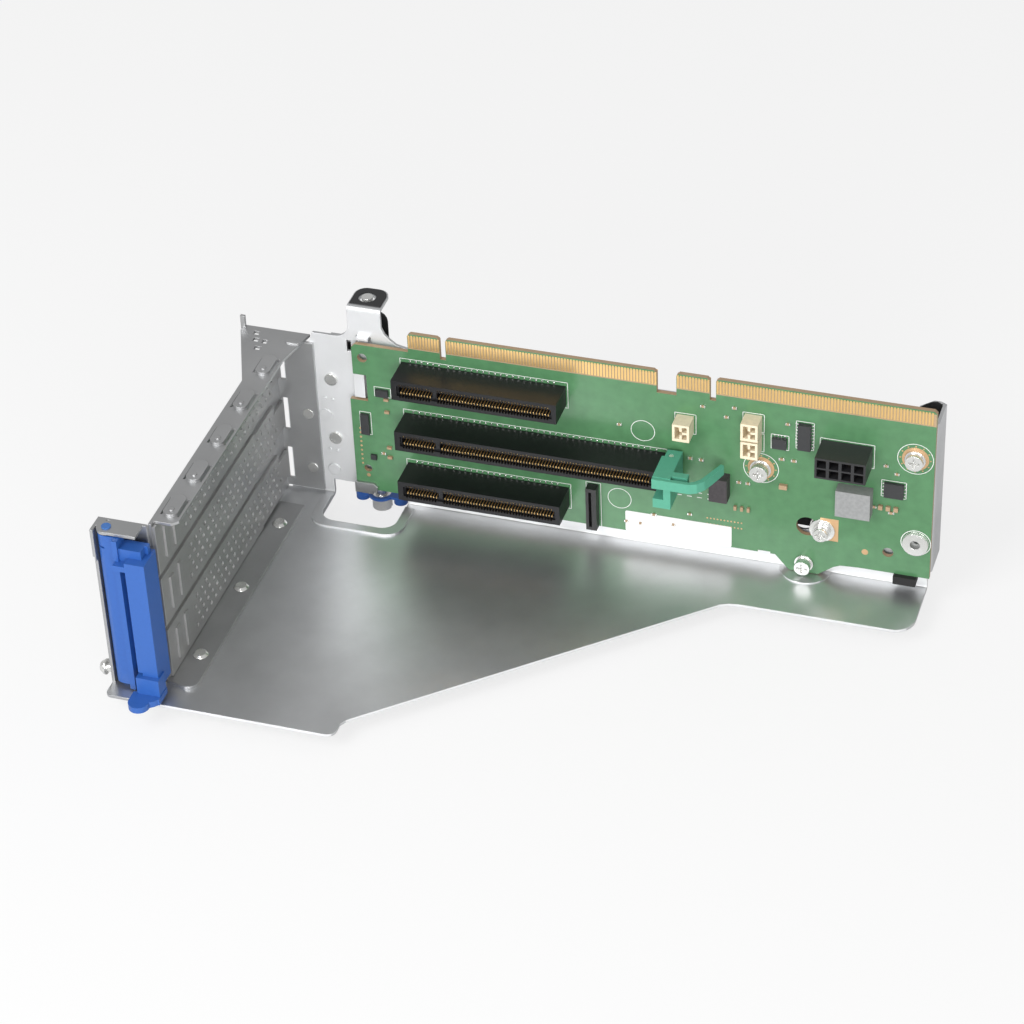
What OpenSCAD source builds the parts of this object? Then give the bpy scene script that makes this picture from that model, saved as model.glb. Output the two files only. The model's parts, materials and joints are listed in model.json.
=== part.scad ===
// Riser cage bracket: a three-slot riser board in a folded steel cage, with a card latch,
// a slot clip and a captive thumbscrew. It stands on its large plate, edge contacts up.
// X runs along the board, Y goes from the plate's front edge to the back, Z is up.
// X = 0 is the first contact of the slots, Y = 0 the front face of the board.

/* [Cage] */
// thickness of the cage sheet
sheet_t = 1.0; // [0.8:0.1:1.2]
// how far the plate reaches in front of the board
plate_depth = 116.5; // [112:0.5:124]
// height of the middle slot above the underside of the plate
mid_z = 37.5; // [37.5:0.5:40]
// depth of the cage behind its back wall
cage_depth = 12; // [12:0.5:16]
// thickness of the slot bracket sheet
bracket_t = 1.0; // [0.8:0.1:1.0]

/* [Riser board] */
// overall width of the board
board_w = 195.8; // [193:0.2:204]
// board thickness
board_t = 1.57; // [1.4:0.01:2.0]
// height of the standoffs between board and back wall
boss_h = 1.43; // [1.2:0.01:2.0]

/* [Slots] */
// distance between neighbouring slots
slot_pitch = 20.32; // [20.32:0.02:20.6]
// height of a slot housing off the board
slot_h = 11.25; // [10.5:0.05:12]
// width of a slot housing
slot_w = 7.5; // [7:0.1:7.6]
// width of a slot cover
cover_w = 18.42; // [17.6:0.02:18.6]

/* [Latch and screw] */
// width of the card latch
latch_w = 14; // [13.6:0.1:14.4]
// radius of the thumbscrew shaft
shaft_r = 2.2; // [1.8:0.05:2.3]
// radius of the thumbscrew head
head_r = 3.4; // [3.1:0.1:4.0]
// width of the thumbscrew grip from wing to wing
grip_w = 18.4; // [16:0.2:20]

/* [Hidden] */
$fn = 32;

board_left = -22;
board_right = board_left + board_w;
board_low = mid_z - 30.5;
board_back = board_t;
wall_y = board_t + boss_h;
wall_back = wall_y + sheet_t;
rear_y = wall_y + cage_depth;
wall_top = mid_z + 25.5;
wall_high = mid_z + 28.2;
flange_x = board_right + 0.1;
cover_in = -47.2;
cover_t = bracket_t;
frame_in = cover_in - cover_t - 0.05;
frame_out = frame_in - bracket_t;
ledge_top = mid_z + 25;
ledge_low = ledge_top - bracket_t;
cover_mid = mid_z - 5.7;
screw_x = -17;
screw_y = wall_y + 6.2;
tab_top = mid_z + 40.7;
cut_x0 = -31.5;
cut_x1 = -5.2;
cut_y = -13.3;
hinge_x = -61.2;
web_x = hinge_x - 3.4 - bracket_t;
hinge_y = -108.4;
pin_r = 1.2;
latch_low = sheet_t + bracket_t + 0.5;
latch_high = ledge_low - 0.4;
gold_top = mid_z + 35.35;

function arc(cx, cy, r, a0, a1, n = 6) =
    [for (i = [0 : n]) [cx + r * cos(a0 + (a1 - a0) * i / n), cy + r * sin(a0 + (a1 - a0) * i / n)]];

// a flat outline drawn in X and Z, its back face at y and its thickness towards the front
module upright(y, t) {
    translate([0, y, 0]) rotate([90, 0, 0]) linear_extrude(t) children();
}

// a profile drawn in Y and Z and run along X
module along_x(x, len) {
    translate([x, 0, 0]) rotate([90, 0, 90]) linear_extrude(len) children();
}

module block(x0, x1, y0, y1, z0, z1) {
    translate([x0, y0, z0]) cube([x1 - x0, y1 - y0, z1 - z0]);
}

// a round pin or bore along Y, from y0 back to y1
module pin_y(x, z, r, y0, y1) {
    translate([x, y1, z]) rotate([90, 0, 0]) cylinder(r = r, h = y1 - y0);
}

module rounded(x0, y0, x1, y1, r) {
    polygon(concat(arc(x0 + r, y0 + r, r, 180, 270), arc(x1 - r, y0 + r, r, 270, 360),
        arc(x1 - r, y1 - r, r, 0, 90), arc(x0 + r, y1 - r, r, 90, 180)));
}

// ---------------------------------------------------------------- cage sheet

plate_right = flange_x - 1.2;
bend_r = 1.6;

module plate_outline() {
    front = -plate_depth;
    polygon(concat(
        [[frame_out, wall_back - bend_r]],
        arc(frame_out + 2, front + 2, 2, 180, 270, 4),
        arc(8, front + 3.2, 3.2, -90, 0),
        [[11.2, front + 6.2], [12.4, front + 8.2]],
        [[109.9, -23.0], [112.8, -21.7], [116.8, -21.2]],
        arc(plate_right - 7, -14.2, 7, -90, 0),
        [[plate_right, wall_back - bend_r]]));
}

module cage_wall_outline() {
    polygon(concat(
        [[cover_in + bracket_t + 0.3, bend_r]],
        [[plate_right, bend_r], [plate_right, board_low], [flange_x - bend_r, board_low]],
        [[flange_x - bend_r, wall_high], [flange_x - 8, wall_high], [flange_x - 10, wall_top]],
        [[-0.5, wall_top], [-1.6, mid_z + 27.0], [-5.7, mid_z + 27.9], [-7.7, mid_z + 29.5]],
        [[-9.6, mid_z + 31.4], [-10.6, mid_z + 33.7], [-10.6, tab_top - bend_r]],
        [[-22.2, tab_top - bend_r], [-22.2, mid_z + 33.2]],
        arc(-27.2, mid_z + 33.2, 5, 0, -90),
        [[-35, mid_z + 28.2], [-36.5, ledge_low - 0.4], [cover_in + bracket_t + 0.3, ledge_low - 0.4]]));
}

// quarter bend between two faces of the sheet, run along X
module bend_along_x(x0, x1, y, z, a) {
    along_x(x0, x1 - x0) translate([y, z]) rotate(a) difference() {
        intersection() {
            circle(r = bend_r);
            square(bend_r);
        }
        circle(r = bend_r - sheet_t);
    }
}

module cage_sheet() {
    color("silver") {
        difference() {
            linear_extrude(sheet_t) plate_outline();
            translate([0, 0, -1]) linear_extrude(sheet_t + 2)
                rounded(cut_x0, cut_y, cut_x1, wall_back + 10, 5);
            for (y = plate_rivet_y) translate([-43, y, -1]) cylinder(r = 1.6, h = 10);
        }
        difference() {
            bend_along_x(frame_out + bracket_t + 1.4, plate_right, wall_back - bend_r, bend_r, -90);
            block(cut_x0, cut_x1, -20, 30, -1, board_low);
        }
        // folded hem round the thumb opening
        translate([0, 0, sheet_t]) linear_extrude(0.8 * sheet_t) difference() {
            rounded(cut_x0 - 3.2, cut_y - 3.2, cut_x1 + 3.2, 10, 6);
            rounded(cut_x0, cut_y, cut_x1, 20, 5);
            translate([-60, 0]) square([120, 30]);
        }
        // pressed pad under the lower board screw
        difference() {
            translate([screw_low_x, wall_y, 0]) cylinder(r = 8.6, h = sheet_t + 0.4);
            block(100, 160, wall_back - bend_r, 40, -1, 5);
            block(100, 160, -20, 40, -1, sheet_t / 2);
        }
        difference() {
            upright(wall_back, sheet_t) cage_wall_outline();
            block(cut_x0, cut_x1, -20, 30, -1, board_low - 0.5);
            block(-23, -21.5, -5, 30, mid_z + 22.8, mid_z + 27.2);
            block(-19.4, -14.4, -5, 30, mid_z + 26.4, mid_z + 29.6);
            for (p = screw_points) pin_y(p[0], p[1], 2.6, -5, 30);
            pin_y(131.4, mid_z - 17, 3.9, -5, 30);
            for (p = wall_rivets) pin_y(p[0], p[1], 1.6, -5, 30);
        }
        // lug that stands in the board's left notch, and the lip over the slot in the neck
        block(-20.6, -16.8, 0.6, wall_y + 0.1, mid_z + 6.6, mid_z + 15.8);
        block(-19.0, -14.8, 1.2, wall_y + 0.1, mid_z + 29.0, mid_z + 30.0);
        for (p = [[-32.4, mid_z - 4.4], [-31.0, mid_z - 26.7]]) pin_y(p[0], p[1], 2.2, wall_y - 0.35, wall_y + 0.1);
        for (p = [[-32.2, mid_z + 2.5], [-29.6, mid_z + 2.1], [-32.0, mid_z - 18.6], [-29.4, mid_z - 19.0]])
            pin_y(p[0], p[1], 0.6, wall_y - 0.3, wall_y + 0.1);
        // neck tab, bent back over the screw
        bend_along_x(-22.2, -10.6, wall_y + bend_r, tab_top - bend_r, 90);
        difference() {
            translate([0, 0, tab_top - sheet_t]) linear_extrude(sheet_t) polygon(concat(
                [[-22.2, wall_y + bend_r], [-10.6, wall_y + bend_r]],
                arc(-14.6, rear_y - 4, 4, 0, 90), arc(-18.2, rear_y - 4, 4, 90, 180)));
            translate([screw_x, screw_y, tab_top - 5]) cylinder(r = shaft_r + 0.3, h = 10);
        }
        // lanced lip that guides the screw
        difference() {
            block(-19.4, -14.4, wall_y, rear_y - 3, mid_z + 25.4, mid_z + 26.4);
            translate([screw_x, screw_y, mid_z + 20]) cylinder(r = shaft_r + 0.3, h = 10);
            block(-40, 0, -10, wall_y, 0, 100);
        }
        // lower guide lip, over the thumb opening
        difference() {
            block(-19.4, -14.4, wall_y, rear_y - 3, board_low + 0.4, board_low + 1.4);
            translate([screw_x, screw_y, 0]) cylinder(r = shaft_r + 0.3, h = 20);
        }
        // end flange and its return
        block(flange_x - sheet_t, flange_x, wall_y + bend_r, rear_y, board_low, wall_high);
        translate([0, 0, board_low]) linear_extrude(wall_high - board_low)
            translate([flange_x - bend_r, wall_y + bend_r]) difference() {
                intersection() {
                    circle(r = bend_r);
                    translate([0, -bend_r]) square(bend_r);
                }
                circle(r = bend_r - sheet_t);
            }
        upright(rear_y + sheet_t, sheet_t) polygon([[flange_x - 8.6, board_low], [flange_x, board_low],
            [flange_x, wall_high - 0.8], [flange_x - 1.8, wall_high], [flange_x - 4, wall_high],
            [flange_x - 8.6, mid_z + 25.4]]);
        // short return that carries the left of the rear sheet
        block(-33.5, -32.5, wall_back, rear_y, mid_z - 26, mid_z + 20);
        block(-33.5, -25, rear_y, rear_y + sheet_t, mid_z - 26, mid_z + 20);
    }
}

// ---------------------------------------------------------------- slot bracket

module tapered_ear() {
    polygon([[frame_out, -102], [-42.5, -102], [-40.5, -100], [-40.5, -10], [-37.1, 6.2],
        [-60.4, 6.2], [-60.4, 2.9], [frame_out, -24.5]]);
}

lug_y = [-17.8, -37.9, -57.9, -78.0, -96.6];

module rear_bracket() {
    color("gray") {
        difference() {
            block(frame_out, frame_in, -104, wall_y, sheet_t, ledge_top);
            for (i = [-1 : 1]) block(-70, -40, -96, -8, cover_mid + i * slot_pitch - 6,
                cover_mid + i * slot_pitch + 6);
        }
        // flange on the plate
        difference() {
            translate([0, 0, sheet_t]) linear_extrude(bracket_t) polygon(concat(
                [[frame_in - 0.5, -8], [frame_in - 0.5, -106]], arc(-42, -104, 3.5, -90, 0), [[-38.5, -8]]));
            for (y = plate_rivet_y) translate([-43, y, -1]) cylinder(r = 1.6, h = 10);
        }
        // ledge
        difference() {
            translate([0, 0, ledge_low]) linear_extrude(bracket_t) tapered_ear();
            for (y = lug_y) {
                block(-47.6, -46.9, y - 1.5, y + 7.5, 0, 100);
                block(-42.0, -41.3, y - 1.5, y + 7.5, 0, 100);
            }
            for (p = [[-53.4, -1.2], [-51.2, -5.6], [-50.0, -1.6], [-54.6, 2.6]])
                block(p[0] - 1, p[0] + 1, p[1] - 1, p[1] + 1, 0, 100);
        }
        // lanced bridges with a dimple each
        for (y = lug_y) {
            block(-46.9, -42.0, y, y + 6, ledge_top - 0.3, ledge_top + 1.0);
            for (e = [0, 6]) translate([-44.45, y + e, ledge_top - 0.3]) cylinder(r = 2.45, h = 1.3);
            translate([-44.45, y + 0.4, ledge_top + 0.9]) cylinder(r = 0.9, h = 0.5);
        }
        block(-61.2, -59.6, 5.2, 6.2, ledge_low, ledge_top + 4);
        // pressed oval at the back of the ledge
        block(-42.4, -39.4, -0.9, 1.5, ledge_top - 0.3, ledge_top + 0.5);
        for (x = [-42.4, -39.4]) translate([x, 0.3, ledge_top - 0.3]) cylinder(r = 1.2, h = 0.8);
        // rear flange against the front of the back wall
        difference() {
            block(frame_in - 0.5, -34.8, wall_y - bracket_t - 0.02, wall_y - 0.02, sheet_t + bracket_t, ledge_low + 0.3);
            for (i = [-1 : 1]) block(-47.4, -45.2, -5, 30, cover_mid + i * slot_pitch - 6.5,
                cover_mid + i * slot_pitch + 6.5);
            for (p = wall_rivets) pin_y(p[0], p[1], 1.6, -5, 30);
        }
    }
}

plate_rivet_y = [-19.8, -55.4, -91.2];
wall_rivets = [[-38.4, mid_z - 4.4], [-38.4, mid_z - 26.7]];

module slot_cover(i) {
    zc = cover_mid + i * slot_pitch;
    difference() {
        union() {
            block(cover_in - cover_t, cover_in, -103.8, -24, zc - cover_w / 2, zc + cover_w / 2);
            block(cover_in - cover_t, cover_in, -24, -6, zc - cover_w / 2 + 0.9, zc + cover_w / 2 - 0.9);
            block(cover_in - cover_t, cover_in, -6, wall_y - bracket_t - 0.3, zc - 5.1, zc + 5.1);
            block(cover_in - 0.2, cover_in + 0.6, -98.2, -95.6, zc - 6, zc + 6);
            block(cover_in - 0.2, cover_in + 0.6, -91.2, -88.8, zc - 6.4, zc + 6.4);
        }
        for (k = [0 : 19]) for (j = [-1.5 : 1 : 1.5])
            translate([cover_in, -82 + k * 3.9 + (j == -0.5 || j == 1.5 ? 1.95 : 0), zc + j * 3.6])
                rotate([0, 90, 0]) cylinder(r = 0.85, h = 4, center = true, $fn = 8);
    }
}

module slot_cover_top() {
    color("darkgray") slot_cover(1);
}

module slot_cover_middle() {
    color("darkgray") slot_cover(0);
}

module slot_cover_bottom() {
    color("darkgray") slot_cover(-1);
}

// ---------------------------------------------------------------- card latch and its bracket

module latch_bracket() {
    top_z = ledge_low;
    color("gray") {
        // top flange with the rounded end round the pin
        difference() {
            union() {
                block(hinge_x, -50.6, -111.2, -105, top_z, top_z + bracket_t);
                translate([hinge_x, hinge_y, top_z]) cylinder(r = 3.1, h = bracket_t);
            }
            translate([hinge_x, hinge_y, 0]) cylinder(r = pin_r, h = 200);
        }
        // back web, joined to the slot bracket
        block(web_x, frame_out - 0.02, -105.2, -105.2 + bracket_t, sheet_t - 0.2, top_z + bracket_t);
        block(frame_out - bracket_t - 0.02, frame_out - 0.02, -105, -97, sheet_t + 1, top_z - 1);
        // side web, wider at the top
        block(web_x, web_x + bracket_t, -110.2, -105, sheet_t - 0.2, top_z - 10);
        difference() {
            block(web_x, web_x + bracket_t, -111.2, -105, top_z - 11, top_z + bracket_t);
            translate([-70, -111.2, top_z - 11]) rotate([45, 0, 0]) cube([10, 2.4, 2.4], center = true);
        }
        block(web_x, hinge_x - pin_r - 0.1, -108.5, -105, top_z, top_z + bracket_t);
        // lower flange
        difference() {
            linear_extrude(bracket_t) polygon(concat(arc(web_x + 2, -114.4, 2, 180, 270),
                [[frame_out - 0.1, -116.4], [frame_out - 0.1, -104.4], [web_x, -104.4]]));
            translate([hinge_x, hinge_y, -5]) cylinder(r = pin_r, h = 20);
            translate([-54.6, -112.8, -5]) cylinder(r = 1.5, h = 20);
        }
    }
}

module latch_pin() {
    color("royalblue") {
        translate([hinge_x, hinge_y, 0.1]) cylinder(r = pin_r - 0.02, h = ledge_top - 0.1);
        translate([hinge_x, hinge_y, ledge_top + 0.01]) cylinder(r = pin_r + 0.3, h = 0.4);
    }
}

module card_latch() {
    mid_lo = latch_low + 6.5;
    mid_hi = latch_high - 6;
    right = hinge_x + latch_w + 0.6;
    color("royalblue") difference() {
        union() {
            // hinge barrel, with two shallow grooves
            translate([hinge_x, hinge_y, latch_low]) cylinder(r = 2.9, h = latch_high - latch_low);
            block(hinge_x, hinge_x + 3.5, hinge_y - 3, hinge_y, latch_low, latch_high);
            // web behind the channel
            block(hinge_x, right - 1, -109.4, -107.6, mid_lo - 2, latch_high - 3);
            // long rib beside the barrel
            block(hinge_x + 3.4, hinge_x + 5.2, -113.4, -108, latch_low, latch_high);
            // presser column
            block(right - 6.6, right - 4.8, -115.6, -108, mid_lo + 3, latch_high - 6);
            block(right - 5.2, right, -115.6, -106.4, mid_lo - 3, latch_high - 6);
            // bridge at the top
            block(hinge_x + 4, right, -115.6, -108.6, latch_high - 9.5, latch_high - 7.5);
            block(hinge_x + 4, right - 2, -112.6, -108.6, latch_high - 7.6, latch_high - 3);
            // finger tab, leaning out at the foot
            block(right - 7, right + 0.6, -117.2, -112, latch_low, mid_lo + 2);
            translate([right - 3.4, -116.6, latch_low]) cylinder(r = 4.2, h = 2.2);
            block(right - 7.6, right + 0.8, -118.6, -112, latch_low, latch_low + 2.2);
            block(right - 8.6, right - 1.8, -121.2, -116.6, latch_low, latch_low + 2.2);
            translate([right - 5.2, -120.8, latch_low]) cylinder(r = 3.4, h = 2.2);
        }
        translate([hinge_x, hinge_y, 0]) cylinder(r = pin_r + 0.06, h = 200);
        translate([hinge_x, hinge_y, latch_high - 5]) difference() {
            cylinder(r = 4, h = 0.7);
            translate([0, 0, -1]) cylinder(r = 2.3, h = 3);
            block(0, 20, -20, 20, -5, 5);
        }
    }
}

module guide_stud() {
    color("silver") translate([web_x - 0.02, -108.2, sheet_t + 4.3]) rotate([0, -90, 0]) {
        cylinder(r = 1.5, h = 2.6);
        translate([0, 0, 2.6]) cylinder(r1 = 2.6, r2 = 1.6, h = 1.4);
        translate([0, 0, 2.0]) cylinder(r = 2.6, h = 0.6);
    }
}

module cage_rivets() {
    color("silver") {
        for (y = plate_rivet_y) translate([-43, y, 0.2]) {
            cylinder(r = 1.5, h = sheet_t + bracket_t - 0.1);
            translate([0, 0, sheet_t + bracket_t - 0.18]) cylinder(r1 = 2.6, r2 = 1.8, h = 0.9);
        }
        for (p = wall_rivets) {
            pin_y(p[0], p[1], 1.5, wall_y - bracket_t - 0.1, wall_back - 0.1);
            pin_y(p[0], p[1], 1.9, wall_y - bracket_t - 0.38, wall_y - bracket_t - 0.03);
        }
        for (z = [mid_z + 10.5, mid_z - 13.3]) {
            pin_y(-29.5, z, 2.2, wall_y - 0.7, wall_y - 0.02);
        }
        translate([-54.6, -112.8, 0.02]) cylinder(r = 1.45, h = bracket_t + 0.2);
        translate([-54.6, -112.8, bracket_t + 0.02]) cylinder(r1 = 2.7, r2 = 2.0, h = 0.9);
    }
}

// ---------------------------------------------------------------- riser board

screw_low_x = 132.6;
screw_points = [[board_right - 6.2, mid_z + 16.2], [117.8, mid_z + 3.5], [138.3, mid_z - 17.4],
    [screw_low_x, mid_z - 31.8]];

module board_outline() {
    g = gold_top;
    c = 0.9;
    r = board_right;
    polygon([[board_left, board_low], [122.8, board_low], [127.5, sheet_t + 0.6],
        [137.1, sheet_t + 0.6], [142.3, board_low - 1.4], [144.5, board_low - 0.4], [150.7, board_low],
        [r, board_low], [r, g - c], [r - c, g],
        [102.88 + c, g], [102.88, g - c], [102.88, mid_z + 27.1],
        [100.86, mid_z + 27.1], [100.86, g - c], [100.86 - c, g], [89.88 + c, g], [89.88, g - c],
        [89.88, mid_z + 27], [83.38, mid_z + 27], [83.38, g - c], [83.38 - c, g],
        [12.48 + c, g], [12.48, g - c], [12.48, mid_z + 27.2],
        [10.46, mid_z + 27.2], [10.46, g - c], [10.46 - c, g], [c - 0.53, g], [-0.53, g - c],
        [-0.53, mid_z + 28.2], [-19, mid_z + 28.2], [-20.4, mid_z + 26.8], [-20.4, mid_z + 16.3],
        [-15.8, mid_z + 16.3], [-15.8, mid_z + 6], [board_left, mid_z + 6]]);
}

module riser_board() {
    color("seagreen") difference() {
        upright(board_back, board_t) board_outline();
        for (p = screw_points) pin_y(p[0], p[1], 1.9, -5, 10);
        pin_y(133.3, mid_z - 17, 3.6, -5, 10);
        block(133.3, 138.3, -5, 10, mid_z - 19, mid_z - 15.6);
        pin_y(160, mid_z - 22.4, 1.8, -5, 10);
        pin_y(-16.8, mid_z + 23.1, 1.7, -5, 10);
        pin_y(-17.5, mid_z - 21.8, 1.4, -5, 10);
        pin_y(board_right - 4.9, mid_z - 16.8, 2.6, -5, 10);
        block(117, 121.2, -5, 10, board_low - 1, board_low + 0.7);
    }
}

module edge_contacts() {
    pad = 0.06;
    color("gold") for (i = [0 : 163]) {
        x = i < 11 ? i : i < 82 ? i + 2 : i < 93 ? i + 8.4 : i + 10.4;
        if (x < board_right - 0.6) {
            block(x - 0.35, x + 0.35, -pad, -0.005, mid_z + 30, gold_top - 0.5);
            block(x - 0.35, x + 0.35, board_t + 0.005, board_t + pad, mid_z + 30, gold_top - 0.5);
        }
    }
}

// a slot housing: two wells split by the key rib, and a bevelled mouth
module slot_connector(i, end_x) {
    zc = mid_z + i * slot_pitch;
    color("#262626") difference() {
        union() {
            block(-3, end_x, -slot_h, -0.02, zc - slot_w / 2, zc + slot_w / 2);
        }
        block(-0.65, 11.0, -slot_h - 1, -slot_h + 8.5, zc - 1.0, zc + 1.0);
        block(12.4, end_x - 1.95, -slot_h - 1, -slot_h + 8.5, zc - 1.0, zc + 1.0);
        block(-1.1, end_x - 1.5, -slot_h - 1, -slot_h + 0.8, zc - 1.9, zc + 1.9);
        for (k = [0 : (end_x > 60 ? 82 : 49)]) if (k != 11) {
            x = k < 11 ? k : k + 1.05;
            block(x - 0.3, x + 0.3, -slot_h - 1, -slot_h + 7.5, zc - 2.5, zc + 2.5);
        }
    }
}

module slot_connector_top() {
    slot_connector(1, 53);
}

module slot_connector_middle() {
    slot_connector(0, 86);
}

module slot_connector_bottom() {
    slot_connector(-1, 53);
}

clip_x = 89.2;
clip_y = -4.2;

module slot_clip() {
    color("mediumseagreen") difference() {
        union() {
            for (z = [mid_z + 2.6, mid_z - 6.1]) {
                block(86.3, 92.2, -16.6, -5, z, z + 3.5);
                block(87.2, 92.2, -5.1, -1.2, z, z + 3.5);
            }
            block(89.8, 92.2, -16.6, -1.2, mid_z - 6.1, mid_z + 6.1);
            block(86.3, 88.2, -16.6, -14, mid_z + 2.6, mid_z + 3.6);
            block(91, 97.4, -15, -12.6, mid_z + 2.6, mid_z + 6.1);
            // lever, out along the board and back towards it
            translate([0, 0, mid_z + 2.2]) linear_extrude(3.6) polygon([[86.3, -17.8], [98.6, -17.8],
                [101.0, -16.8], [103.0, -14.6], [104.8, -10.4], [106.8, -4.8], [105.7, -4.4],
                [103.4, -9.6], [101.6, -13.8], [99.8, -15.7], [98.2, -16.5], [86.3, -16.5]]);
        }
        translate([clip_x, clip_y, mid_z - 10]) cylinder(r = 0.9, h = 20);
    }
}

module clip_pin() {
    color("silver") translate([clip_x, clip_y, mid_z - 6]) cylinder(r = 0.85, h = 12);
    color("silver") block(86.25, 88.9, -1.0, -0.02, mid_z - 2.4, mid_z + 2.4);
    color("silver") block(86.7, 88.9, clip_y, -0.9, mid_z - 2.4, mid_z + 2.4);
}

module black_choke() {
    color("#3a3a3a") {
        block(101.6, 107.6, -4.4, -0.02, mid_z - 9.8, mid_z - 0.8);
    }
}

module m2_connector() {
    color("#2b2b2b") difference() {
        block(59.6, 63.2, -3.4, -0.02, mid_z - 30.1, mid_z - 13.4);
        block(60.6, 61.6, -4, -0.8, mid_z - 28.8, mid_z - 14.8);
    }
}

module power_connector() {
    z0 = mid_z + 10.6;
    z1 = mid_z + 18.4;
    pitch = (153.7 - 137.7) / 4;
    color("#303030") difference() {
        block(137.5, 153.9, -10.3, -0.02, z0, z1);
        for (i = [0 : 3]) for (j = [0 : 1])
            block(137.7 + i * pitch + 0.5, 137.7 + (i + 1) * pitch - 0.5, -12, -1.6,
                z0 + 0.7 + j * 3.5, z0 + 3.6 + j * 3.5);
    }
}

module power_pins() {
    color("gold") for (i = [0 : 3]) for (j = [0 : 1])
        block(139.35 + i * 4, 140.05 + i * 4, -4.2, -1.62, mid_z + 12.4 + j * 3.5, mid_z + 13.1 + j * 3.5);
}

// low two-way header: a block with a stepped, H-shaped mouth in its front
module header(x, z) {
    difference() {
        block(x, x + 5.6, -6.0, -0.02, z, z + 6.4);
        block(x + 0.8, x + 2.4, -7, -1.2, z + 1.0, z + 5.6);
        block(x + 3.2, x + 4.8, -7, -1.2, z + 1.0, z + 2.9);
        block(x + 3.2, x + 4.8, -7, -1.2, z + 3.7, z + 5.6);
        block(x + 2.3, x + 3.3, -7, -2.6, z + 2.6, z + 4.0);
    }
}

module cream_headers() {
    color("wheat") {
        header(90.0, mid_z + 13.4);
        header(112.4, mid_z + 17.6);
        header(112.4, mid_z + 10.6);
    }
}

module inductor() {
    color("dimgray") block(143.2, 154.5, -4.6, -0.02, mid_z - 7.6, mid_z + 2.4);
}

module chip(x0, x1, z0, z1, t) {
    block(x0, x1, -t - 0.1, -0.1, mid_z + z0, mid_z + z1);
}

module chips() {
    color("#2a2a2a") {
        chip(129.9, 134.1, 13.9, 23.6, 1.6);
        chip(121.6, 126.2, 12.9, 16.7, 1.4);
        chip(158.1, 164.4, 0.3, 5.8, 1.2);
        chip(-12.6, -8.3, 9.2, 11.8, 1.2);
        chip(-18.6, -15.7, -7.1, 0.9, 1.2);
        chip(-16, -14, -17.3, -15.4, 0.9);
    }
}

module capacitors() {
    color("tan") {
        for (x = [156.4, 158.9, 161.4]) block(x, x + 1.4, -1, -0.02, mid_z - 5.2, mid_z - 3.6);
        for (z = [7.5, 2.5, -12, -16]) block(-10, -8.4, -0.9, -0.02, mid_z + z, mid_z + z + 0.9);
        for (x = [109, 111.2, 113.4]) block(x, x + 0.9, -0.9, -0.02, mid_z - 14.6, mid_z - 13);
        block(124, 126.6, -1.2, -0.02, mid_z - 3, mid_z - 1.4);
    }
}

// head radius and height of each board screw
screw_head = [[2.9, 2.8], [3.0, 4.0], [2.4, 3.0], [2.6, 3.8]];

module board_screws() {
    color("silver") for (i = [0 : 3]) {
        p = screw_points[i];
        r = screw_head[i][0];
        h = screw_head[i][1];
        lift = i == 2 ? 0.62 : 0;
        difference() {
            union() {
                pin_y(p[0], p[1], r, -h - lift, -0.9 - lift);
                pin_y(p[0], p[1], r + 0.5, -0.92 - lift, -0.02 - lift);
                pin_y(p[0], p[1], 1.45, -0.1 - lift, wall_back + 1.4);
            }
            block(p[0] - 1.7, p[0] + 1.7, -9, 0.9 - h - lift, p[1] - 0.35, p[1] + 0.35);
            block(p[0] - 0.35, p[0] + 0.35, -9, 0.9 - h - lift, p[1] - 1.7, p[1] + 1.7);
        }
    }
}

module keyhole_washer() {
    p = screw_points[2];
    color("silver") difference() {
        pin_y(p[0], p[1], 4.2, -0.6, -0.02);
        pin_y(p[0], p[1], 1.6, -5, 5);
    }
}

module threaded_nut() {
    x = board_right - 4.9;
    color("silver") difference() {
        union() {
            pin_y(x, mid_z - 16.8, 4.2, -1.4, -0.02);
            pin_y(x, mid_z - 16.8, 2.5, -0.1, board_t);
        }
        pin_y(x, mid_z - 16.8, 1.6, -5, 10);
    }
}

module board_standoffs() {
    color("silver") for (p = screw_points) difference() {
        union() {
            pin_y(p[0], p[1], p[1] < mid_z - 30 ? 3.6 : 4.4, board_t + 0.02, wall_y - 0.02);
            pin_y(p[0], p[1], 2.5, wall_y - 0.1, wall_back + 1.6);
        }
        pin_y(p[0], p[1], 1.5, -5, 30);
    }
}

// ---------------------------------------------------------------- captive thumbscrew

head_low = -6.4;

module thumbscrew_shaft() {
    color("silver") translate([screw_x, screw_y, 0]) {
        difference() {
            translate([0, 0, head_low]) cylinder(r = head_r, h = 5.4);
            block(-6, 6, -0.5, 0.5, head_low - 1, head_low + 1.2);
        }
        translate([0, 0, head_low + 5.3]) cylinder(r = shaft_r, h = mid_z + 31 - head_low - 5.3);
        translate([0, 0, mid_z + 30.9]) cylinder(r = shaft_r - 0.3, h = tab_top + 0.6 - mid_z - 30.9);
    }
}

module thumbscrew_grip() {
    half = grip_w / 2;
    color("royalblue") translate([screw_x, screw_y, head_low + 2.6]) difference() {
        union() {
            translate([0, 0, 2.2]) cylinder(r = head_r + 1.2, h = 1.0);
            for (s = [-1, 1]) {
                translate([s * (half - 2.4), 0, 0]) cylinder(r = 2.4, h = 3.2);
                translate([s < 0 ? -half + 2.4 : 0, -2.4, 2.2]) cube([half - 2.4, 4.8, 1.0]);
            }
        }
        translate([0, 0, -1]) cylinder(r = head_r + 0.01, h = 8);
        translate([0, 0, -1]) cylinder(r = head_r + 0.6, h = 3.2);
    }
}

module retaining_ring() {
    color("silver") translate([screw_x, screw_y, mid_z + 33]) difference() {
        cylinder(r = 3.6, h = 0.7);
        translate([0, 0, -1]) cylinder(r = shaft_r - 0.28, h = 3);
    }
}

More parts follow.
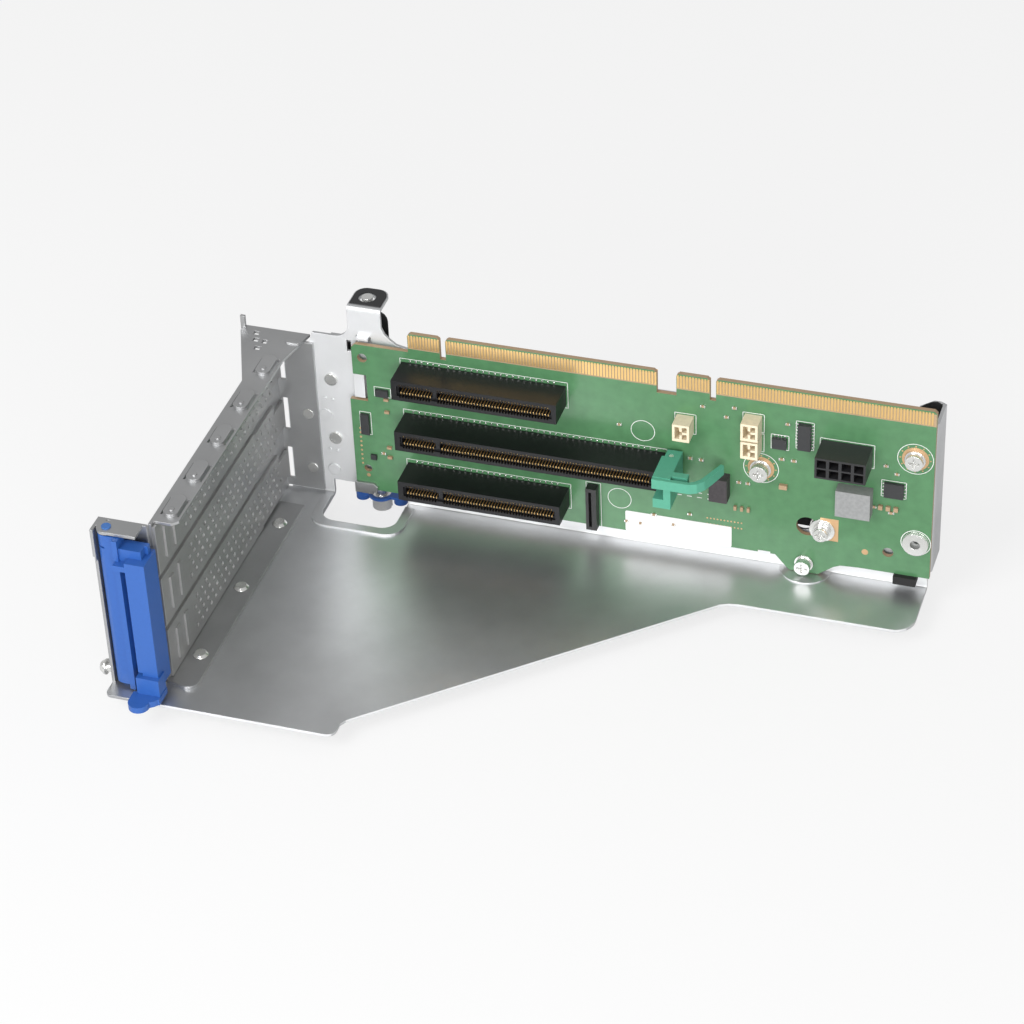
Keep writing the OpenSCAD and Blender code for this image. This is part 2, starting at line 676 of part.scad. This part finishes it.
module tab_insulator() {
    color("#2a2a2a") difference() {
        translate([0, 0, tab_top + 0.02]) linear_extrude(0.25) polygon(concat(
            [[-21.8, wall_y + 1.8], [-11.0, wall_y + 1.8]],
            arc(-14.9, rear_y - 4.3, 3.9, 0, 90), arc(-17.9, rear_y - 4.3, 3.9, 90, 180)));
        translate([screw_x, screw_y, tab_top - 5]) cylinder(r = shaft_r + 0.7, h = 10);
    }
}

// ---------------------------------------------------------------- insulating sheet, label, bumper

module rear_insulator() {
    r = flange_x - sheet_t - 0.2;
    color("#202020") difference() {
        upright(rear_y - 0.02, 0.5) polygon(concat(
            [[-31.8, mid_z - 28], [r, mid_z - 28], [r, mid_z + 27.9], [r - 1.6, mid_z + 28.7]],
            [[r - 3.4, mid_z + 28.4], [r - 5.4, mid_z + 27.2], [r - 7.6, mid_z + 25.4]],
            [[r - 7.6, mid_z + 15], [-12.6, mid_z + 15], [-12.6, mid_z + 28.3]],
            arc(-16.2, mid_z + 28.6, 3.6, 0, 90, 4), arc(-19.6, mid_z + 28.6, 3.6, 90, 180, 4),
            [[-23.2, mid_z + 18], [-31.8, mid_z + 18]]));
        for (p = sheet_rivets) pin_y(p[0], p[1], 1.6, 0, 40);
    }
}

sheet_rivets = [[-28.6, mid_z + 12], [-28.6, mid_z - 20], [flange_x - 5, mid_z + 12], [flange_x - 5, mid_z - 20]];

module insulator_rivets() {
    color("#2c2c2c") for (p = sheet_rivets)
        pin_y(p[0], p[1], 2.8, rear_y - 1.6, rear_y - 0.54);
}

module rubber_bumper() {
    color("#222222") block(162.2, 169.6, -1.6, wall_y - 0.1, board_low - 3.1, board_low - 0.05);
}

module blank_label() {
    color("white") upright(-0.02, 0.12) rounded(72.2, board_low + 0.1, 108.2, board_low + 8.3, 0.6);
}

// folded hook that holds the lower left corner of the board
module board_hook() {
    color("gray") {
        difference() {
            upright(-0.05, 0.9) polygon([[-22.4, board_low - 0.4], [-22.4, board_low + 2.9],
                [-15.6, board_low + 2.9], [-14.4, board_low + 1.6], [-14.6, board_low - 0.4]]);
        }
        block(-22.4, -16, -0.95, wall_y - 0.02, board_low - 1.3, board_low - 0.3);
    }
}

cage_sheet();
rear_bracket();
slot_cover_top();
slot_cover_middle();
slot_cover_bottom();
latch_bracket();
card_latch();
latch_pin();
guide_stud();
cage_rivets();
riser_board();
edge_contacts();
slot_connector_top();
slot_connector_middle();
slot_connector_bottom();
slot_clip();
clip_pin();
black_choke();
m2_connector();
power_connector();
power_pins();
cream_headers();
inductor();
chips();
capacitors();
board_screws();
keyhole_washer();
threaded_nut();
board_standoffs();
thumbscrew_shaft();
thumbscrew_grip();
retaining_ring();
tab_insulator();
rear_insulator();
insulator_rivets();
rubber_bumper();
blank_label();
board_hook();
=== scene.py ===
"""Looks of the riser cage bracket: materials, board details, light and camera, in metres."""

import json
import math

import bpy
import bmesh
from mathutils import Matrix, Vector


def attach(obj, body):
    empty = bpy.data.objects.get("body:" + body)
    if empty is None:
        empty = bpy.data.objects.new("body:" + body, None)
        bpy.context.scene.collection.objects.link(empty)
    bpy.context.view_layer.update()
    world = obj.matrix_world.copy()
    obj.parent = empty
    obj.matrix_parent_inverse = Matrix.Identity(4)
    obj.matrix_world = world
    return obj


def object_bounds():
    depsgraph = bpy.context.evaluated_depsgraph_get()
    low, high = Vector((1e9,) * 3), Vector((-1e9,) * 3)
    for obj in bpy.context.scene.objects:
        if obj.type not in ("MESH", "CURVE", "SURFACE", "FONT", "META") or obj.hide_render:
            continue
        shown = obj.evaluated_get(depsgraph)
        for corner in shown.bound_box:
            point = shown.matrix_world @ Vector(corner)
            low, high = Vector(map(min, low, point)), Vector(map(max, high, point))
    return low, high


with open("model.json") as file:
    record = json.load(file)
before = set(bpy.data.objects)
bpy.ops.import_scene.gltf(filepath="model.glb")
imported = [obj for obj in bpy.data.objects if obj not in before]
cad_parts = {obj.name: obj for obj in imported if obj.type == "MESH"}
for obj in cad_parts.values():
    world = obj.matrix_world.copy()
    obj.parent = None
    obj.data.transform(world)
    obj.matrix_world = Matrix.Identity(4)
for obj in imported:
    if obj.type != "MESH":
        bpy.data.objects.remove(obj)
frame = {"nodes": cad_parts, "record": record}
lo0, hi0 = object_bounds()
MM = 0.001


# ------------------------------------------------------------------ materials

def new_material(name):
    m = bpy.data.materials.new(name)
    m.use_nodes = True
    nodes = m.node_tree.nodes
    return m, nodes, m.node_tree.links, nodes["Principled BSDF"]


def set_in(node, name, value):
    if name in node.inputs:
        node.inputs[name].default_value = value


def plastic(name, colour, rough=0.4, spread=0.06, grain=900, bump=0.00002, spec=0.5, coat=0.0):
    """Moulded or painted surface: a slightly uneven colour and a fine grain."""
    m, nodes, links, bsdf = new_material(name)
    coord = nodes.new("ShaderNodeTexCoord")
    noise = nodes.new("ShaderNodeTexNoise")
    noise.inputs["Scale"].default_value = grain
    noise.inputs["Detail"].default_value = 4
    links.new(coord.outputs["Object"], noise.inputs["Vector"])
    ramp = nodes.new("ShaderNodeValToRGB")
    ramp.color_ramp.elements[0].position = 0.3
    ramp.color_ramp.elements[1].position = 0.7
    ramp.color_ramp.elements[0].color = [c * (1 - spread) for c in colour] + [1]
    ramp.color_ramp.elements[1].color = [min(1, c * (1 + spread)) for c in colour] + [1]
    links.new(noise.outputs["Fac"], ramp.inputs["Fac"])
    links.new(ramp.outputs["Color"], bsdf.inputs["Base Color"])
    b = nodes.new("ShaderNodeBump")
    b.inputs["Distance"].default_value = bump
    b.inputs["Strength"].default_value = 0.5
    links.new(noise.outputs["Fac"], b.inputs["Height"])
    links.new(b.outputs["Normal"], bsdf.inputs["Normal"])
    set_in(bsdf, "Roughness", rough)
    set_in(bsdf, "Specular IOR Level", spec)
    set_in(bsdf, "Coat Weight", coat)
    set_in(bsdf, "Coat Roughness", 0.2)
    return m


def sheet_metal(name, colour, rough=0.35, metallic=0.9, blotch=0.06, scratch=0.04, bump=0.00004):
    """Zinc-coated sheet: soft blotches, fine scratches and an uneven gloss."""
    m, nodes, links, bsdf = new_material(name)
    coord = nodes.new("ShaderNodeTexCoord")
    big = nodes.new("ShaderNodeTexNoise")
    big.inputs["Scale"].default_value = 45
    big.inputs["Detail"].default_value = 5
    fine = nodes.new("ShaderNodeTexNoise")
    fine.inputs["Scale"].default_value = 700
    fine.inputs["Detail"].default_value = 6
    stretch = nodes.new("ShaderNodeMapping")
    stretch.inputs["Scale"].default_value = (40, 900, 900)
    stretch.inputs["Rotation"].default_value = (0, 0, 0.5)
    line = nodes.new("ShaderNodeTexNoise")
    line.inputs["Scale"].default_value = 1
    line.inputs["Detail"].default_value = 2
    links.new(coord.outputs["Object"], big.inputs["Vector"])
    links.new(coord.outputs["Object"], fine.inputs["Vector"])
    links.new(coord.outputs["Object"], stretch.inputs["Vector"])
    links.new(stretch.outputs["Vector"], line.inputs["Vector"])
    ramp = nodes.new("ShaderNodeValToRGB")
    ramp.color_ramp.elements[0].position = 0.35
    ramp.color_ramp.elements[1].position = 0.65
    ramp.color_ramp.elements[0].color = [c * (1 - blotch) for c in colour] + [1]
    ramp.color_ramp.elements[1].color = [min(1, c * (1 + blotch)) for c in colour] + [1]
    links.new(big.outputs["Fac"], ramp.inputs["Fac"])
    links.new(ramp.outputs["Color"], bsdf.inputs["Base Color"])
    mix = nodes.new("ShaderNodeMath")
    mix.operation = "MULTIPLY_ADD"
    mix.inputs[1].default_value = 0.16
    mix.inputs[2].default_value = rough - 0.08
    links.new(fine.outputs["Fac"], mix.inputs[0])
    links.new(mix.outputs["Value"], bsdf.inputs["Roughness"])
    add = nodes.new("ShaderNodeMath")
    add.operation = "MULTIPLY_ADD"
    add.inputs[1].default_value = 0.5
    links.new(line.outputs["Fac"], add.inputs[0])
    links.new(fine.outputs["Fac"], add.inputs[2])
    b = nodes.new("ShaderNodeBump")
    b.inputs["Distance"].default_value = bump
    b.inputs["Strength"].default_value = 0.35
    links.new(add.outputs["Value"], b.inputs["Height"])
    links.new(b.outputs["Normal"], bsdf.inputs["Normal"])
    soft = nodes.new("ShaderNodeBevel")
    soft.samples = 4
    soft.inputs["Radius"].default_value = 0.0003
    links.new(soft.outputs["Normal"], b.inputs["Normal"])
    set_in(bsdf, "Metallic", metallic)
    return m


MAT = {
    "cage_steel": sheet_metal("cage_steel", (0.64, 0.65, 0.66), 0.36),
    "bracket_steel": sheet_metal("bracket_steel", (0.48, 0.485, 0.49), 0.40),
    "cover_steel": sheet_metal("cover_steel", (0.42, 0.42, 0.42), 0.42, metallic=0.75),
    "bright_steel": sheet_metal("bright_steel", (0.80, 0.80, 0.78), 0.24, blotch=0.02),
    "latch_blue": plastic("latch_blue", (0.026, 0.105, 0.38), 0.36, spread=0.03),
    "pin_blue": plastic("pin_blue", (0.05, 0.16, 0.45), 0.4),
    "board_green": plastic("board_green", (0.075, 0.205, 0.090), 0.34, spread=0.10, grain=260,
                           coat=0.3),
    "contact_gold": sheet_metal("contact_gold", (0.86, 0.58, 0.24), 0.32, metallic=0.8, blotch=0.03),
    "slot_black": plastic("slot_black", (0.006, 0.006, 0.007), 0.45, spec=0.35),
    "clip_green": plastic("clip_green", (0.090, 0.36, 0.245), 0.42, spread=0.03),
    "choke_grey": plastic("choke_grey", (0.055, 0.048, 0.052), 0.6, spread=0.15),
    "card_socket": plastic("card_socket", (0.018, 0.018, 0.018), 0.45),
    "power_black": plastic("power_black", (0.022, 0.022, 0.024), 0.38),
    "header_cream": plastic("header_cream", (0.78, 0.68, 0.50), 0.5),
    "inductor_grey": plastic("inductor_grey", (0.28, 0.285, 0.285), 0.55, spread=0.1),
    "chip_black": plastic("chip_black", (0.030, 0.031, 0.033), 0.5),
    "capacitor_tan": plastic("capacitor_tan", (0.40, 0.28, 0.17), 0.5),
    "film_black": plastic("film_black", (0.018, 0.018, 0.019), 0.45),
    "bumper_rubber": plastic("bumper_rubber", (0.015, 0.015, 0.015), 0.8),
    # painted light: a lighter copy of cage_steel for the upright wall, standing in for the light that falls on it
    "wall_steel_painted_light": sheet_metal("wall_steel_painted_light", (0.78, 0.79, 0.80), 0.42, metallic=0.45, blotch=0.04),
    "copper_pad": sheet_metal("copper_pad", (0.62, 0.40, 0.22), 0.42, metallic=0.6, blotch=0.15),
    "label_white": plastic("label_white", (0.80, 0.80, 0.79), 0.6, spread=0.02),
}

slot_of = {s["node"]: s["material_slot"] for s in frame["record"]["subparts"]}
for name, obj in frame["nodes"].items():
    obj.data.materials.clear()
    obj.data.materials.append(MAT[slot_of[name]])

# painted light: the upright wall's faces get a lighter, less metallic copy of the plate's steel, standing in for the
# light that falls on the wall
cage = frame["nodes"]["cage_sheet"]
cage.data.materials.append(MAT["wall_steel_painted_light"])
for f in cage.data.polygons:
    if abs(f.normal.y) > 0.7:
        f.material_index = 1

# raw laminate shows at the board's edges
board = frame["nodes"]["riser_board"]
board.data.materials.append(MAT["capacitor_tan"])
for f in board.data.polygons:
    if abs(f.normal.y) < 0.5:
        f.material_index = 1

# ------------------------------------------------------------------ printed and soldered board details

MID = 37.5       # height of the middle slot
PITCH = 20.32    # from slot to slot
KEY = 11         # contacts before the key of a slot
KEY_STEP = 1.05  # added length of the contact row past the key
DOT_RISE = 4.35  # solder dots over a slot's centre line
CONTACTS = ((1, 50), (0, 83), (-1, 50))    # slot, and the length of its contact row
SCREWS = ((167.6, 16.2), (117.8, 3.5))     # upper board screws: X, and Z from the middle slot
TOP = max(v.co.z for v in board.data.vertices) / MM
RIGHT = max(v.co.x for v in board.data.vertices) / MM


def contact_x(k):
    return k if k < KEY else k + KEY_STEP


def rect(x0, x1, z0, z1):
    return [(x0, z0), (x1, z0), (x1, z1), (x0, z1)]


def outline(x0, x1, z0, z1, w=0.22):
    return [rect(x0, x1, z0, z0 + w), rect(x0, x1, z1 - w, z1),
            rect(x0, x0 + w, z0, z1), rect(x1 - w, x1, z0, z1)]


def turn(x, z, r, n=20):
    return [(x + r * math.cos(2 * math.pi * i / n), z + r * math.sin(2 * math.pi * i / n)) for i in range(n)]


def ring(x, z, r0, r1, n=32):
    a, b = turn(x, z, r0, n), turn(x, z, r1, n)
    return [[a[i], b[i], b[(i + 1) % n], a[(i + 1) % n]] for i in range(n)]


def flat(name, slot, polys, front=0.0, back=0.02, thick=0.05, material=None):
    """Thin shapes printed or laid on the board's front face; front is their foot's Y in mm."""
    verts, faces = [], []
    for pts in polys:
        n, k = len(pts), len(verts)
        verts += [(x * MM, (front - thick) * MM, z * MM) for x, z in pts]
        verts += [(x * MM, (front + back) * MM, z * MM) for x, z in pts]
        faces.append(tuple(range(k, k + n)))
        faces += [(k + i, k + n + i, k + n + (i + 1) % n, k + (i + 1) % n) for i in range(n)]
    mesh = bpy.data.meshes.new(name)
    mesh.from_pydata(verts, [], faces)
    bm = bmesh.new()
    bm.from_mesh(mesh)
    bmesh.ops.recalc_face_normals(bm, faces=bm.faces)
    bm.to_mesh(mesh)
    bm.free()
    mesh.materials.append(material or MAT[slot])
    o = bpy.data.objects.new(name, mesh)
    bpy.context.scene.collection.objects.link(o)
    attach(o, "cage")
    return o


# bare laminate between the edge contacts
flat("finger_ground", "capacitor_tan", [rect(x0, x1, MID + 29.6, TOP - 1.0) for x0, x1 in (
    (-0.4, 10.4), (12.6, 83.3), (90.0, 100.8), (103.0, RIGHT - 0.1))], thick=0.03)

# tinned pads: the solder dots over each slot, chip legs and the ends of small parts
tin = []
for i, end in CONTACTS:
    zc = MID + i * PITCH
    for k in range(0, end, 2):
        tin.append(turn(contact_x(k), zc + DOT_RISE, 0.36, 10))
for n in range(8):
    for x0 in (128.9, 134.1):
        tin.append(rect(x0, x0 + 0.8, MID + 14.3 + 1.2 * n, MID + 14.7 + 1.2 * n))
for n in range(4):
    for z0 in (12.1, 16.7):
        tin.append(rect(122.0 + 1.1 * n, 122.4 + 1.1 * n, MID + z0, MID + z0 + 0.8))
    for x0 in (157.4, 164.4):
        tin.append(rect(x0, x0 + 0.7, MID + 0.8 + 1.3 * n, MID + 1.25 + 1.3 * n))
tin += ring(168.9, MID - 16.8, 3.1, 4.3)
flat("tinned_pads", "bright_steel", tin, thick=0.12)

# white print: slot outlines, part outlines and rings, with no lettering
ink = []
for i, end in ((1, 53), (0, 86), (-1, 53)):
    zc = MID + i * PITCH
    ink += outline(-3.6, end + 0.7, zc - 4.9, zc + 5.2, 0.18)
for x, z in ((78.6, 11.1), (70.3, -17.7)):
    ink += ring(x, MID + z, 3.85, 4.05)
for x, z in SCREWS:
    ink += ring(x, MID + z, 5.65, 5.85)
ink += ring(168.9, MID - 16.8, 4.7, 4.95)
# part outlines, and the short marks below: their places are made up, not read from the photo
for x0, x1, z0, z1 in ((129.0, 135.0, 13.4, 24.2), (120.9, 126.9, 11.9, 17.7), (157.0, 165.2, -0.2, 6.4),
                       (136.8, 154.6, 9.9, 19.1), (89.2, 96.4, 12.7, 20.5), (111.6, 118.8, 16.9, 24.6),
                       (111.6, 118.8, 9.9, 17.6), (58.8, 64.0, -31.0, -12.8), (-13.4, -7.5, 8.5, 12.5),
                       (-19.2, -15.1, -7.7, 1.5)):
    ink += outline(x0, x1, MID + z0, MID + z1, 0.2)
for n in range(12):
    ink.append(rect(66 + 3.4 * n, 67.6 + 3.4 * n, MID - 12.4, MID - 12.15))
    ink.append(rect(66 + 3.4 * n, 67.6 + 3.4 * n, MID - 10.5, MID - 10.25))
flat("white_print", "label_white", ink, thick=0.03)

# bare copper: rings round the screws, the keyhole's land and rows of vias (rows made up)
bare = []
for x, z in SCREWS:
    bare += ring(x, MID + z, 3.0, 4.4)
    for n in range(12):
        a = 2 * math.pi * n / 12
        bare.append(turn(x + 4.9 * math.cos(a), MID + z + 4.9 * math.sin(a), 0.28, 8))
bare += [rect(137.6, 143.6, MID - 21.4, MID - 12.6), turn(152.5, MID - 23.7, 1.1), turn(-17.5, MID - 24.6, 0.7)]
for n in range(9):
    bare.append(turn(-19.3, MID - 5.5 - 1.8 * n, 0.4, 10))
for n in range(22):
    bare.append(turn(100 + 1.15 * (n % 11), MID - 20 - 2.3 * (n // 11), 0.3, 8))
flat("bare_copper", "contact_gold", bare, thick=0.04, material=MAT["copper_pad"])

# small chip parts with tinned ends; their places are made up, to give a like density
body, ends = [], []
for x, z, w in ((94.4, 3.2, 1.6), (98.1, 3.2, 1.6), (110.6, -3.4, 1.6), (113.6, -3.4, 1.6), (124.6, 8.4, 2.0),
                (128.6, 8.4, 2.0), (136.4, 5.8, 1.6), (139.4, 5.8, 1.6), (146.2, 4.4, 2.0), (151.8, 1.6, 1.6),
                (155.0, -4.8, 1.6), (160.6, -6.2, 2.0), (162.0, 9.4, 1.6), (158.4, 12.0, 1.6), (106.4, 21.6, 1.6),
                (109.0, 25.6, 1.6), (98.6, 24.4, 1.6), (126.4, 22.4, 1.6), (70.8, 12.4, 1.6), (72.6, -26.4, 1.6),
                (77.4, -26.4, 1.6), (82.0, -22.0, 2.0), (88.6, -24.8, 1.6), (94.2, -19.4, 1.6), (-11.4, -14.4, 1.6)):
    body.append(rect(x - w / 4, x + w / 4, MID + z - 0.4, MID + z + 0.4))
    ends.append(rect(x - w / 2, x - w / 4, MID + z - 0.42, MID + z + 0.42))
    ends.append(rect(x + w / 4, x + w / 2, MID + z - 0.42, MID + z + 0.42))
flat("small_parts", "capacitor_tan", body, thick=0.5)
flat("small_part_ends", "bright_steel", ends, thick=0.52)

# spring contacts just inside the mouths of the slots
tips = []
for i, end in CONTACTS:
    zc = MID + i * PITCH
    for k in range(end):
        if k != KEY:
            x = contact_x(k)
            tips.append(rect(x - 0.2, x + 0.2, zc + 1.1, zc + 1.8))
            tips.append(rect(x - 0.2, x + 0.2, zc - 1.8, zc - 1.1))
flat("slot_contacts", "contact_gold", tips, front=-6.0, back=1.0, thick=4.1)

# ------------------------------------------------------------------ light, floor, camera

scene = bpy.context.scene
scene.view_settings.view_transform = "Standard"
scene.render.film_transparent = False

world = bpy.data.worlds.new("studio")
scene.world = world
world.use_nodes = True
world.node_tree.nodes["Background"].inputs["Color"].default_value = (1, 1, 1, 1)
world.node_tree.nodes["Background"].inputs["Strength"].default_value = 0.5


def area(name, where, towards, size, power):
    data = bpy.data.lights.new(name, "AREA")
    data.shape = "RECTANGLE"
    data.size = size
    data.size_y = size
    data.energy = power
    o = bpy.data.objects.new(name, data)
    scene.collection.objects.link(o)
    o.location = where
    o.rotation_mode = "QUATERNION"
    o.rotation_quaternion = (Vector(towards) - Vector(where)).to_track_quat("-Z", "Y")
    return o


area("key", (-0.30, -0.75, 0.75), (0.05, -0.03, 0.02), 0.5, 6)
area("front", (0.35, -1.0, 0.22), (0.05, 0.0, 0.04), 0.5, 7)


def make_floor():
    s = 8.0
    mesh = bpy.data.meshes.new("floor")
    z = lo0.z - 0.0002
    mesh.from_pydata([(-s, -s, z), (s, -s, z), (s, s, z), (-s, s, z)], [], [(0, 1, 2, 3)])
    o = bpy.data.objects.new("floor", mesh)
    scene.collection.objects.link(o)
    m, nodes, links, bsdf = new_material("floor")
    set_in(bsdf, "Base Color", (0.82, 0.82, 0.82, 1))
    set_in(bsdf, "Roughness", 0.9)
    set_in(bsdf, "Specular IOR Level", 0.1)
    # seen straight on, the floor is brighter than the light makes it, like a lit backdrop
    path = nodes.new("ShaderNodeLightPath")
    glow = nodes.new("ShaderNodeEmission")
    glow.inputs["Color"].default_value = (1, 1, 1, 1)
    glow.inputs["Strength"].default_value = 1.0
    mix = nodes.new("ShaderNodeMixShader")
    out = nodes["Material Output"]
    factor = nodes.new("ShaderNodeMath")
    factor.operation = "MULTIPLY"
    factor.inputs[1].default_value = 0.75
    links.new(path.outputs["Is Camera Ray"], factor.inputs[0])
    links.new(factor.outputs["Value"], mix.inputs["Fac"])
    links.new(bsdf.outputs["BSDF"], mix.inputs[1])
    links.new(glow.outputs["Emission"], mix.inputs[2])
    links.new(mix.outputs["Shader"], out.inputs["Surface"])
    mesh.materials.append(m)


make_floor()

# the camera stands to the right of the part and looks down on it
AZIMUTH, ELEVATION, ROLL = 19.096, 37.045, -2.6145
cam_data = bpy.data.cameras.new("camera")
cam_data.sensor_width = 36
cam_data.lens = 115.48
cam_data.clip_start, cam_data.clip_end = 0.02, 30
cam = bpy.data.objects.new("camera", cam_data)
scene.collection.objects.link(cam)
a, e, r = (math.radians(v) for v in (AZIMUTH, ELEVATION, ROLL))
back = Vector((math.sin(a) * math.cos(e), -math.cos(a) * math.cos(e), math.sin(e)))
right = Vector((math.cos(a), math.sin(a), 0))
up = back.cross(right)
right2 = math.cos(r) * right + math.sin(r) * up
up2 = -math.sin(r) * right + math.cos(r) * up
cam.matrix_world = Matrix.Translation((0.31878, -0.82619, 0.66680)) @ Matrix(
    (right2, up2, back)).transposed().to_4x4()
scene.camera = cam
